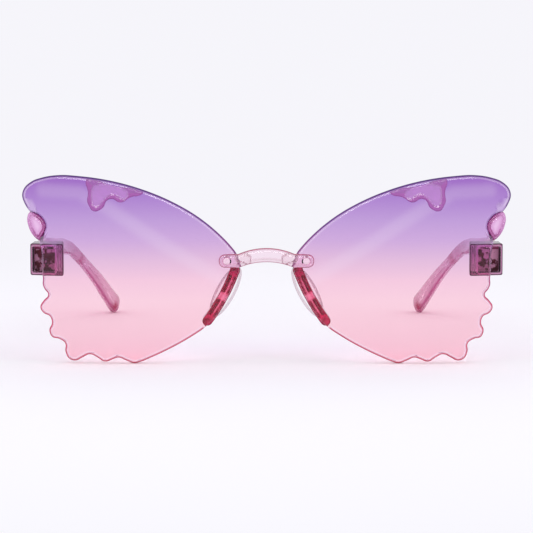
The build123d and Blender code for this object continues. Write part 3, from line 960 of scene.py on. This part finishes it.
CARRIER_LINE = ((10.18, 29.89), (13.47, 22.45), (19.00, 13.67))
CARRIER_POINTS = 61
CARRIER_HALF = 1.7
CAP_ANGLES = np.radians(np.linspace(-80, 80, 15))
CARRIER_RIM = 0.35
CARRIER_GRID = 0.22
# Least thickness, and depth of the slots from the front and from the back
CARRIER_LEAST = 0.5
SLOT_FRONT_DEPTH = 1.4
SLOT_BACK_DEPTH = 2.0
# Middle and half of a slot, along and across the strip, and its edge
SLOT_ALONG = (4.3, 3.0)
SLOT_ASIDE = (0.78, 0.5)
SLOT_EDGE = (-0.12, 0.08)
# Painted shade and painted highlights, by distance from the outline or along and across the strip:
# dark edge and ends, pale web, rib and streaks
CARRIER_SHADE_EDGE = (0.05, 0.55)
CARRIER_SHADE_ENDS = (7.4, 8.9)
CARRIER_WEB = (0.5, 1.7)
CARRIER_RIB = (0.0, 0.30)
RIB_LENGTH = (5.0, 7.2)
STREAK = (0.85, 0.16)
STREAK_LENGTH = (1.6, 2.9)

PAD_TILT = 47.0
PAD_HALF = (9.3, 4.1)
PAD_THICKNESS = 2.2
PAD_OFFSET = -1.0
PAD_SEAT_BACK = 6.6
PAD_RIM = 1.0
PAD_GRID = 0.6
PAD_DISH = (1.2, 3.5)
# Painted shade as a dark line at the edge, and a painted highlight as a pale band inside it
PAD_SHADE_LINE = (0.05, 0.32)
PAD_HIGHLIGHT_BAND = (0.9, 0.45)


def carrier_arc(side):
    """Fine middle line of a carrier, from the top down."""
    start, middle, end = mirrored(side, CARRIER_LINE)
    matrix = 2 * np.array((middle - start, end - start))
    sums = np.array((middle @ middle - start @ start, end @ end - start @ start))
    centre = np.linalg.solve(matrix, sums)
    radius = np.linalg.norm(start - centre)
    first = math.atan2(*(start - centre)[::-1])
    last = math.atan2(*(end - centre)[::-1])
    if last - first > math.pi:
        last -= 2 * math.pi
    if first - last > math.pi:
        last += 2 * math.pi
    angles = np.linspace(first, last, CARRIER_POINTS)
    return centre + radius * np.stack((np.cos(angles), np.sin(angles)), axis=1)


def pad_axes(side):
    """Origin on the slanted seat, directions down the pad and across it, and its normal."""
    top, middle, bottom = mirrored(side, CARRIER_LINE)
    down = (bottom - top) / np.linalg.norm(bottom - top)
    seat = sphere_y(side, middle[None, :], FRONT_RADIUS)[0] + PAD_SEAT_BACK
    lean = math.radians(PAD_TILT)
    normal = np.array(
        (-math.sin(lean) * side * abs(down[1]), math.cos(lean), -math.sin(lean) * abs(down[0]))
    )
    along = np.array((down[0], 0.0, down[1]))
    return np.array((middle[0], seat, middle[1])), along, np.cross(along, normal), normal


def make_carrier(name, side):
    """Curved strip on the lens's back with four slots about a cross web."""
    node = f"nose_pad_carrier_{name}"
    line = carrier_arc(side)
    ways = unit(np.gradient(line, axis=0))
    normals = np.stack((-ways[:, 1], ways[:, 0]), axis=1)
    caps = []
    for end, way in ((line[-1], ways[-1]), (line[0], -ways[0])):
        angles = math.atan2(way[1], way[0]) + CAP_ANGLES
        caps.append(end + CARRIER_HALF * np.stack((np.cos(angles), np.sin(angles)), axis=1))
    outline = np.concatenate(
        (line - CARRIER_HALF * normals, caps[0], (line + CARRIER_HALF * normals)[::-1], caps[1])
    )
    outline = even_loop(outline, 0.3)
    origin, _, _, normal = pad_axes(side)
    pitch = lengths_along(line)[-1] / (len(line) - 1)

    def local(points):
        nearest = nearest_to(line, points)
        along = (nearest - len(line) // 2) * pitch
        aside = ((points - line[nearest]) * normals[nearest]).sum(axis=1)
        return along, aside

    def slots(points):
        along, aside = local(points)
        reach_along = np.abs(np.abs(along) - SLOT_ALONG[0]) - SLOT_ALONG[1]
        reach_aside = np.abs(np.abs(aside) - SLOT_ASIDE[0]) - SLOT_ASIDE[1]
        return ramp_down(np.maximum(reach_along * 0.8, reach_aside), *SLOT_EDGE)

    def surfaces(points, roundness, distance):
        front = sphere_y(side, points, BACK_RADIUS) + BOND_GAP
        fall = normal[0] * (points[:, 0] - origin[0]) + normal[2] * (points[:, 1] - origin[2])
        back = np.maximum(origin[1] - fall / normal[1], front + CARRIER_LEAST)
        rounding = CARRIER_RIM * (1.0 - roundness)
        open_slots = slots(points)
        return front + rounding + SLOT_FRONT_DEPTH * open_slots, np.maximum(
            back - rounding, front + SLOT_BACK_DEPTH * open_slots + CARRIER_LEAST
        )

    def looks(points, distance):
        # Painted shade at the ends, along the edge and in the slots; painted highlights on the web,
        # the rib and the streaks
        along, aside = local(points)
        length = np.abs(along)
        ends = ramp_up(length, *CARRIER_SHADE_ENDS) * (0.60 + 0.30 * np.sin(along * 3.1 + aside * 2.0))
        edge = 0.8 * ramp_down(distance, *CARRIER_SHADE_EDGE)
        web = ramp_down(length, *CARRIER_WEB) * (0.75 + 0.25 * np.cos(aside * 4.0))
        rib = 0.75 * band(aside, *CARRIER_RIB) * ramp_down(length, *RIB_LENGTH)
        streak = 0.55 * band(aside, *STREAK)
        streak *= ramp_down(np.abs(length - SLOT_ALONG[0]), *STREAK_LENGTH)
        deep = np.maximum(np.maximum(0.62 * slots(points), edge), ends)
        return deep, np.maximum(np.maximum(web, rib), streak)

    plate(node, "strip", "carrier", [outline], [CARRIER_RIM], CARRIER_GRID, surfaces, looks)


def make_pad(name, side):
    """Soft oval pad with a full round edge, dished a little where the nose rests."""
    node = f"nose_pad_{name}"
    angles = np.radians(np.arange(0, 360, 4))
    outline = np.stack((PAD_HALF[0] * np.cos(angles), PAD_HALF[1] * np.sin(angles)), axis=1)
    outline = smooth_loop(outline, 0.4)
    origin, along, across, normal = pad_axes(side)
    offset = PAD_OFFSET if across[0] * side < 0 else -PAD_OFFSET

    def surfaces(points, roundness, distance):
        rounding = (1.0 - roundness) * PAD_THICKNESS / 2
        dish = 0.25 * ramp_up(distance, *PAD_DISH)
        return BOND_GAP + rounding, PAD_THICKNESS - rounding - dish

    def place(corners):
        return (
            origin
            + corners[:, [0]] * along
            + (corners[:, [2]] + offset) * across
            + corners[:, [1]] * normal
        )

    def looks(points, distance):
        # Painted shade on the edge line and a painted highlight on the band inside it
        return 0.6 * ramp_down(distance, *PAD_SHADE_LINE), 0.6 * band(distance, *PAD_HIGHLIGHT_BAND)

    plate(node, "silicone", "nose_pad", [outline], [PAD_RIM], PAD_GRID, surfaces, looks, place)


# Hinge block and its rivet

BLOCK_OUT = 75.9
BLOCK_FRONT = 11.0
BLOCK_REAR_SHARE = 0.9
BLOCK_HEIGHT = 10.2
BLOCK_CORNER = 0.6
BLOCK_LEVEL = 33.396
BLOCK_REAR_Y = -57.0
# The block narrows from here to its rear
BLOCK_TAPER_Y = -68.0
BLOCK_RIM = 0.3
BLOCK_GRID = 0.35
PANEL_OUT = 71.4
PANEL_SIZE = (8.2, 8.9)
PANEL_CORNER = 0.8
PANEL_STEP = 0.25
PANEL_EDGE = (0.0, 0.25)
# Painted shade and painted highlights: dark edge, dark shaded strip on the nose side with painted
# reflections as ribs, pale highlight line round the panel, pale highlight bar on a knuckle
BLOCK_SHADE_LINE = (0.18, 0.50)
SHADED_STRIP_EDGE = (66.9, 67.2)
PANEL_HIGHLIGHT_LINE = (0.0, 0.42)
BAR_HIGHLIGHT_LINE = (66.0, 0.3)
BAR_LEVEL = 33.8
BAR_LENGTH = (1.4, 2.2)


def make_block(name, side):
    """See-through hinge block with a raised square panel on its front."""
    node = f"end_block_{name}"
    centre = (side * (BLOCK_OUT - BLOCK_FRONT / 2), BLOCK_LEVEL)
    outline = even_loop(rounded_box(centre, (BLOCK_FRONT, BLOCK_HEIGHT), BLOCK_CORNER), 0.35)
    panel = rounded_box((side * PANEL_OUT, BLOCK_LEVEL), PANEL_SIZE, PANEL_CORNER)

    def surfaces(points, roundness, distance):
        front = sphere_y(side, points, BACK_RADIUS) + BOND_GAP
        raised = inside(panel, points) * ramp_up(loop_distance(panel, points), *PANEL_EDGE)
        rounding = BLOCK_RIM * (1.0 - roundness)
        rear = np.full(len(points), BLOCK_REAR_Y)
        return front + PANEL_STEP * (1.0 - raised) + rounding, rear - rounding

    def place(corners):
        share = (corners[:, 1] - BLOCK_TAPER_Y) / (BLOCK_REAR_Y - BLOCK_TAPER_Y)
        width = 1.0 - (1.0 - BLOCK_REAR_SHARE) * np.clip(share, 0.0, 1.0)
        out = BLOCK_OUT - (BLOCK_OUT - side * corners[:, 0]) * width
        return np.stack((side * out, corners[:, 1], corners[:, 2]), axis=1)

    def looks(points, distance):
        # Painted shade on the edge and on the nose-side strip, with painted reflections as ribs in
        # it; painted highlights round the panel and as a bar on a knuckle
        out = side * points[:, 0]
        strip = 0.55 * ramp_down(out, *SHADED_STRIP_EDGE) * (0.7 + 0.3 * np.sin(out * 9.0))
        ring = 0.9 * band(loop_distance(panel, points), *PANEL_HIGHLIGHT_LINE)
        bar = 0.7 * band(out, *BAR_HIGHLIGHT_LINE) * ramp_down(np.abs(points[:, 1] - BAR_LEVEL), *BAR_LENGTH)
        return np.maximum(ramp_down(distance, *BLOCK_SHADE_LINE), strip), np.maximum(ring, bar)

    plate(node, "cube", "end_block", [outline], [BLOCK_RIM], BLOCK_GRID, surfaces, looks, place)


# Rivet in the block: radius and Y round its closed section, from the bore's rear to the front
RIVET_CENTRE = (71.8, 32.395)
RIVET_SECTION = (
    (0.45, -57.00), (0.45, -57.40), (0.45, -61.80), (0.46, -62.15), (0.56, -62.38), (0.72, -62.49),
    (0.88, -62.49), (1.04, -62.38), (1.14, -62.15), (1.10, -61.88), (0.98, -61.70), (0.95, -61.40),
    (0.95, -57.46), (0.96, -57.41), (1.30, -57.40), (1.34, -57.37), (1.35, -57.30), (1.35, -57.06),
    (1.30, -57.00),
)
RIVET_RING = 32


def make_rivet(name, side):
    """Tubular rivet with a rolled front edge."""
    node = f"hinge_rivet_{name}"
    out, level = side * RIVET_CENTRE[0], RIVET_CENTRE[1]
    angles = [2 * math.pi * step / RIVET_RING for step in range(RIVET_RING)]
    corners = [
        np.array((out + radius * math.cos(angle), depth, level + radius * math.sin(angle)))
        for radius, depth in RIVET_SECTION
        for angle in angles
    ]
    faces = ring_faces(len(RIVET_SECTION), RIVET_RING, closed=True)
    fit(new_piece(f"{node}_rolled", corners, faces), node, "front", "rivet")


# Temple

TEMPLE_OUT = 73.8
TEMPLE_Y = -56.9
TEMPLE_LEVEL = 33.396
TEMPLE_TIP = (59.3, 72.3, 2.27)
# Middle line, as shares of the way back, inward and down to the tip
TEMPLE_LINE = (
    (0.093, 0.000, 0.000),
    (0.363, 0.000, 0.050),
    (0.572, 0.010, 0.100),
    (0.664, 0.095, 0.159),
    (0.759, 0.335, 0.356),
    (0.831, 0.560, 0.547),
    (0.977, 0.953, 0.950),
    (1.000, 1.000, 1.000),
)
LINE_STEPS = 24
# Sections: share of the length, thickness and height
TEMPLE_SECTIONS = (
    (0.00, 4.00, 10.0),
    (0.28, 3.68, 7.5),
    (0.55, 3.36, 5.4),
    (0.63, 3.32, 4.8),
    (0.74, 3.28, 4.5),
    (0.86, 3.84, 5.9),
    (1.00, 4.40, 7.5),
)
# Rounded front end: distance from the front and size
FRONT_RINGS = ((0.0, 0.90), (0.2, 0.985), (0.7, 1.0))
TIP_RADIUS = 3.0
TIP_ANGLES = np.radians(range(82, 0, -8))
STATIONS = 90
TEMPLE_RING = 36
# How square the section is: power of sine and cosine at the front, what it gains, and by where
SQUARE_POWER = 0.42
SQUARE_GAIN = 0.48
SQUARE_END = 0.6
# Painted highlight: a pale line along the drop; place in the section of it and of the shade spot,
# its width there, and its middle and ramp along the length
HIGHLIGHT_AND_SPOT_PLACE = (0.72, 0.62)
HIGHLIGHT_WIDTH = (0.12, 0.42)
HIGHLIGHT_MIDDLE = 0.80
HIGHLIGHT_LENGTH = (0.11, 0.16)
# Painted shade along the length: round the tip, a spot inside it, at the bend and before it
TIP_BAND = (0.965, 0.05)
SPOT_BAND = (0.955, 0.03)
SPOT_WIDTH = (0.15, 0.75)
BEND_BAND = (0.655, 0.035)
FRONT_RAMP = (0.60, 0.65)


def temple_places(side):
    """Fine middle line of a temple."""
    start = np.array((TEMPLE_OUT, TEMPLE_Y, TEMPLE_LEVEL))
    shares = np.array(TEMPLE_LINE)[:, [1, 0, 2]]
    knots = (start + shares * (np.array(TEMPLE_TIP) - start)) * np.array((side, 1.0, 1.0))
    reach = lengths_along(knots)
    slopes = np.gradient(knots, reach, axis=0)
    slopes[0] = (0.0, 1.0, 0.0)
    slopes[-1] = (knots[-1] - knots[-2]) / (reach[-1] - reach[-2])
    places = []
    last = len(knots) - 2
    for index in range(last + 1):
        span = reach[index + 1] - reach[index]
        way, end_way = span * slopes[index], span * slopes[index + 1]
        for t in np.linspace(0.0, 1.0, LINE_STEPS, endpoint=index == last):
            places.append(hermite(t, knots[index], way, knots[index + 1], end_way))
    return np.array(places)


def make_temple(name, side):
    """Smooth temple: flat front, then a tapering drop with a round paddle tip."""
    node = f"temple_{name}"
    line = temple_places(side)
    reach = lengths_along(line)
    total = reach[-1]
    tip_start = total - TIP_RADIUS
    ways = np.gradient(line, reach, axis=0)
    stations = list(np.linspace(0.0, tip_start, STATIONS)[1:])
    stations += list(total - TIP_RADIUS * (1.0 - np.cos(TIP_ANGLES)))
    shares, thicknesses, heights = zip(*TEMPLE_SECTIONS)
    angles = np.radians(np.arange(TEMPLE_RING) * 360.0 / TEMPLE_RING)
    corners = []
    deep = []
    light = []

    def add_ring(middle, way, thickness, height, power, along, shrink):
        level = np.array((way[1], -way[0], 0.0))
        level /= np.linalg.norm(level)
        up = np.cross(level, way)
        up /= np.linalg.norm(up)
        # Painted highlight along the drop; painted shade round the tip, in a spot inside it, at the
        # bend and before it
        painted_highlight = ramp_down(abs(along - HIGHLIGHT_MIDDLE), *HIGHLIGHT_LENGTH)
        start = band(along, *BEND_BAND) + 0.45 * ramp_down(along, *FRONT_RAMP)
        ring = 0.30 * band(along, *TIP_BAND) + 0.55 * start
        for angle in angles:
            across, above = [
                np.sign(value) * abs(value) ** power for value in (math.cos(angle), math.sin(angle))
            ]
            gap = math.hypot(across + side * HIGHLIGHT_AND_SPOT_PLACE[0], above + HIGHLIGHT_AND_SPOT_PLACE[1])
            spot = 0.8 * band(along, *SPOT_BAND) * ramp_down(gap, *SPOT_WIDTH)
            offset = level * across * thickness / 2 + up * above * height / 2
            corners.append(middle + shrink * offset)
            deep.append(min(1.0, ring + spot))
            light.append(painted_highlight * ramp_down(gap, *HIGHLIGHT_WIDTH))

    for distance, shrink in FRONT_RINGS:
        middle = np.array((side * TEMPLE_OUT, TEMPLE_Y + distance, TEMPLE_LEVEL))
        add_ring(middle, (0.0, 1.0, 0.0), thicknesses[0], heights[0], SQUARE_POWER, 0.0, shrink)
    for station in stations:
        middle, way = [
            np.array([np.interp(station, reach, values) for values in rows.T])
            for rows in (line, ways)
        ]
        way /= np.linalg.norm(way)
        share = min(1.0, station / tip_start)
        fall = max(0.0, station - tip_start) / TIP_RADIUS
        shrink = math.sqrt(max(0.0, 1.0 - fall**2))
        thickness, height = [smooth_value(share, shares, row) for row in (thicknesses, heights)]
        power = SQUARE_POWER + SQUARE_GAIN * min(1.0, share / SQUARE_END)
        add_ring(middle, way, thickness, height, power, station / total, shrink)
    rings = len(corners) // TEMPLE_RING
    faces = ring_faces(rings, TEMPLE_RING)
    front_middle = np.mean(corners[:TEMPLE_RING], axis=0)
    ends = ((0, front_middle), (len(corners) - TEMPLE_RING, line[-1]))
    for first, middle in ends:
        hub = len(corners)
        corners.append(middle)
        deep.append(deep[first])
        light.append(light[first])
        for step in range(TEMPLE_RING):
            here, after = first + step, first + (step + 1) % TEMPLE_RING
            faces.append((here, after, hub) if first else (after, here, hub))
    piece = new_piece(f"{node}_drop", corners, faces, (deep, light))
    fit(piece, node, f"{name}_temple", "temple")


# Studio

def make_floor():
    """Pale floor that keeps the shadows and fades into the background."""
    bpy.ops.mesh.primitive_plane_add(size=FLOOR_SIZE)
    floor = bpy.context.object
    floor.name = "floor"
    material, tree = new_material("floor_paper")
    length = add_node(tree, "VectorMath", {0: object_position(tree)})
    length.operation = "LENGTH"
    low, high = FLOOR_FADE
    inputs = {"From Min": low, "From Max": high, "Value": length.outputs["Value"]}
    fade = add_node(tree, "MapRange", inputs)
    fade.interpolation_type = "SMOOTHSTEP"
    paper = add_node(tree, "BsdfDiffuse", {"Color": FLOOR_COLOUR})
    glow = add_node(tree, "Emission", {"Color": BACKGROUND})
    mix_shaders(tree, fade.outputs["Result"], paper, glow)
    floor.data.materials.append(material)


def make_world():
    """Even pale light from all round, which is the background too."""
    world = bpy.data.worlds.new("studio")
    bpy.context.scene.world = world
    world.use_nodes = True
    tree = world.node_tree
    path = add_node(tree, "LightPath", {})
    seen = path.outputs["Is Camera Ray"]
    for ray in ("Is Glossy Ray", "Is Transmission Ray"):
        larger = add_node(tree, "Math", {0: seen, 1: path.outputs[ray]})
        larger.operation = "MAXIMUM"
        seen = larger.outputs[0]
    strength = add_node(tree, "MapRange", {"To Min": DIFFUSE_LIGHT, "Value": seen})
    inputs = {"Color": BACKGROUND, "Strength": strength.outputs["Result"]}
    feed(tree, tree.nodes["Background"], inputs)


def make_lamps():
    """Soft boxes above and beside the sunglasses, and one over the camera for the gloss alone."""
    for name, place, target, size, power in LAMPS:
        data = bpy.data.lights.new(name, "AREA")
        data.shape = "RECTANGLE"
        data.size, data.size_y = size
        data.energy = power
        lamp = bpy.data.objects.new(name, data)
        bpy.context.scene.collection.objects.link(lamp)
        lamp.location = place
        lamp.rotation_mode = "QUATERNION"
        lamp.rotation_quaternion = (Vector(target) - Vector(place)).to_track_quat("-Z", "Y")
        lamp.visible_diffuse = name != GLOSS_LAMP
        lamp.visible_transmission = name != GLOSS_LAMP


def make_camera():
    """Camera in front, a little above, looking slightly down."""
    data = bpy.data.cameras.new("camera")
    data.sensor_width = SENSOR_WIDTH
    data.lens = FOCAL_PIXELS * SENSOR_WIDTH / IMAGE_PIXELS
    camera = bpy.data.objects.new("camera", data)
    bpy.context.scene.collection.objects.link(camera)
    camera.location = (0.0, -CAMERA_BACK, CAMERA_HEIGHT)
    camera.rotation_euler = (math.radians(90.0 - CAMERA_PITCH), 0.0, 0.0)
    bpy.context.scene.camera = camera


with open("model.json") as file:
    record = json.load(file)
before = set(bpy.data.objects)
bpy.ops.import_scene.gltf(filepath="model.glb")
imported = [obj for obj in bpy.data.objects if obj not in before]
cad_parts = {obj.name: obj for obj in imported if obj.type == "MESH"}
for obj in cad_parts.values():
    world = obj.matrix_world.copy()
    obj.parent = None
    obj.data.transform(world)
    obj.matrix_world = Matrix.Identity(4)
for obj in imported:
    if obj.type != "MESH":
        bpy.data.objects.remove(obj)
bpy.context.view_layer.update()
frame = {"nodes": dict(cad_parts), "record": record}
bpy.context.scene.view_settings.view_transform = "Standard"
materials = make_materials()
dress_nodes()
make_bridge()
for side_name, side_sign in SIDES.items():
    for make in (
        make_lens, make_bead, make_drop, make_carrier, make_pad, make_block, make_rivet, make_temple
    ):
        make(side_name, side_sign)
make_floor()
make_world()
make_lamps()
make_camera()
